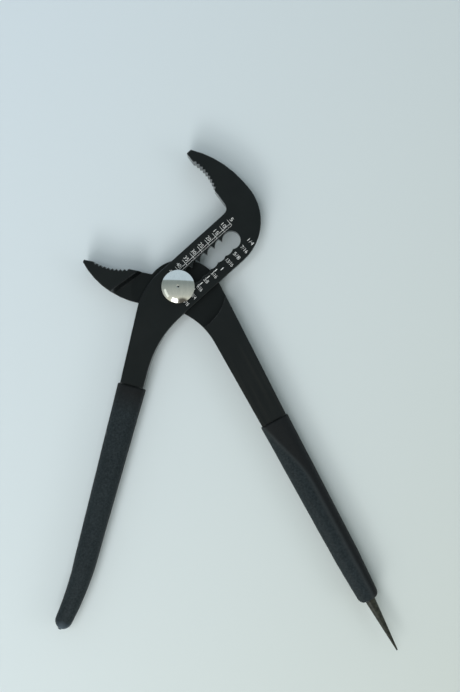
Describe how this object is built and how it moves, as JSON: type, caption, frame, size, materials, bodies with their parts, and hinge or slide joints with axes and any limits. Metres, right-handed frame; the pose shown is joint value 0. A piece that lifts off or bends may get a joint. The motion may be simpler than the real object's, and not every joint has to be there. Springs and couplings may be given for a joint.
{
  "type": "water pump pliers",
  "caption": "Slip joint water pump pliers: hooked upper jaw with a toothed slot, swinging lower jaw on a domed rivet, sleeve grips and a tapered podger spike.",
  "frame": {"origin": "on the pivot axis, at the flat face of the rivet's tail, on which the tool lies", "axes": "+Z along the pivot axis towards the rivet's domed head; +Y towards the jaws and +X to the right, as the tool lies in the picture"},
  "size_m": [0.1732, 0.2521, 0.0162],
  "materials": {
    "blackened_steel": "black oxide, satin",
    "rivet_chrome": "polished",
    "spring_steel": "plain spring steel",
    "grip_vinyl": "dipped vinyl, matte",
    "scale_print": "white print"
  },
  "bodies": {
    "slotted_lever": {"upper_jaw_lever": "blackened_steel", "plain_grip": "grip_vinyl"},
    "pivot_washer": {"spring_washer": "spring_steel"},
    "pivoting_lever": {"lower_jaw_lever": "blackened_steel", "spike_grip": "grip_vinyl", "pivot_rivet": "rivet_chrome"}
  },
  "joints": [
    {"name": "slot_slide", "type": "slide", "parent": "slotted_lever", "child": "pivot_washer", "axis": [0.7431, 0.6691, 0], "range_m": [0, 0.035]},
    {"name": "pivot_hinge", "type": "hinge", "parent": "pivot_washer", "child": "pivoting_lever", "pos_m": [0, 0, 0.0063], "axis": [0, 0, 1], "range_deg": [-45, 7]}
  ]
}
